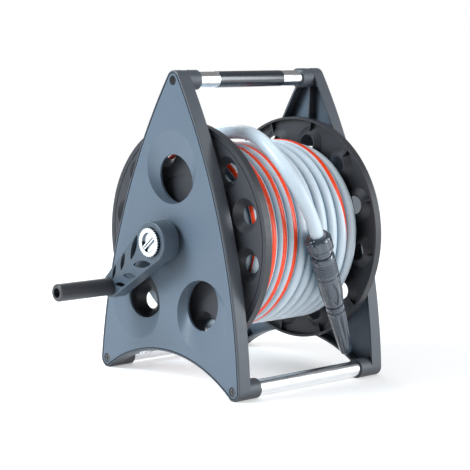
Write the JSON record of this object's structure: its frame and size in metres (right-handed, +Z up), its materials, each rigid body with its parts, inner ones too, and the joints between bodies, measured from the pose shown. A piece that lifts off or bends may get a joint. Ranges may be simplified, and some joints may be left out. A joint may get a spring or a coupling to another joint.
{
  "type": "garden hose reel",
  "caption": "Portable garden hose reel: two arched side panels on tube rails, a cranked drum wound with striped hose, a swivelling water inlet and a nozzle on the hose end.",
  "frame": {"origin": "on the floor, at the middle of the reel's footprint box, without the hose", "axes": "+X along the axle from the crank side to the water inlet side, -Y to the front, +Z up"},
  "size_m": [0.3956, 0.3041, 0.3935],
  "materials": {
    "panel_plastic": "fine spark-eroded texture, satin, slate blue-grey",
    "drum_plastic": "fine texture, satin, near-black grey",
    "crank_plastic": "fine texture, satin, slate blue-grey",
    "grip_plastic": "smooth satin, near-black",
    "bearing_plastic": "natural acetal, smooth",
    "tube_aluminium": "bright drawn and polished",
    "sleeve_film": "dark printed film, plain",
    "plug_plastic": "moulded, plain",
    "screw_steel": "zinc plated",
    "screw_black": "black oxide",
    "knob_chrome": "bright plated",
    "shaft_plastic": "glass-filled, matt",
    "fitting_plastic": "glossy blue-black",
    "seal_rubber": "moulded rubber",
    "hose_vinyl": "smooth soft vinyl, pale grey-white with an orange-red stripe",
    "ring_plastic": "smooth white"
  },
  "bodies": {
    "frame": {"crank_side_panel": "panel_plastic", "inlet_side_panel": "panel_plastic", "crank_side_cover": "panel_plastic", "inlet_side_cover": "panel_plastic", "crank_side_bush": "bearing_plastic", "inlet_side_bush": "bearing_plastic", "handle_tube": "tube_aluminium", "handle_sleeve": "sleeve_film", "front_foot_tube": "tube_aluminium", "rear_foot_tube": "tube_aluminium", "tube_plugs": "plug_plastic", "frame_screws": "screw_black", "handle_clamp_screws": "screw_black"},
    "drum": {"crank_side_flange": "drum_plastic", "inlet_side_flange": "drum_plastic", "drum_core": "drum_plastic", "flange_screws": "screw_steel", "water_shaft": "shaft_plastic", "shaft_seals": "seal_rubber", "outlet_elbow": "shaft_plastic", "tail_nut": "fitting_plastic", "crank_stub": "shaft_plastic", "crank_arm": "crank_plastic", "crank_knob": "knob_chrome", "crank_screw": "screw_steel", "grip_pin": "screw_steel", "hose_winding": "hose_vinyl", "hose_tail": "hose_vinyl", "hose_end": "hose_vinyl", "connector_nut": "fitting_plastic", "connector_body": "fitting_plastic", "nozzle_body": "fitting_plastic"},
    "grip": {"crank_grip": "grip_plastic"},
    "inlet": {"inlet_elbow": "fitting_plastic", "inlet_clip": "screw_steel", "inlet_nipple": "fitting_plastic"},
    "collar": {"release_collar": "fitting_plastic"},
    "lance": {"nozzle_lance": "fitting_plastic", "nozzle_ring": "ring_plastic"}
  },
  "joints": [
    {"name": "drum_spin", "type": "hinge", "parent": "frame", "child": "drum", "pos_m": [0.04325, 0, 0.1825], "axis": [1, 0, 0], "continuous": true},
    {"name": "grip_spin", "type": "hinge", "parent": "drum", "child": "grip", "pos_m": [-0.15675, 0.08, 0.1158], "axis": [1, 0, 0], "continuous": true},
    {"name": "inlet_swivel", "type": "hinge", "parent": "frame", "child": "inlet", "pos_m": [0.18425, 0, 0.1825], "axis": [1, 0, 0], "range_deg": [-100, 100]},
    {"name": "collar_slide", "type": "slide", "parent": "drum", "child": "collar", "axis": [-0.5072, -0.1888, 0.8409], "range_m": [0, 0.003], "stiffness_N_per_m": 300, "springref_m": -0.002},
    {"name": "nozzle_twist", "type": "hinge", "parent": "drum", "child": "lance", "pos_m": [0.09705, -0.1174, 0.09179], "axis": [0.5072, 0.1888, -0.8409], "range_deg": [0, 180]}
  ]
}
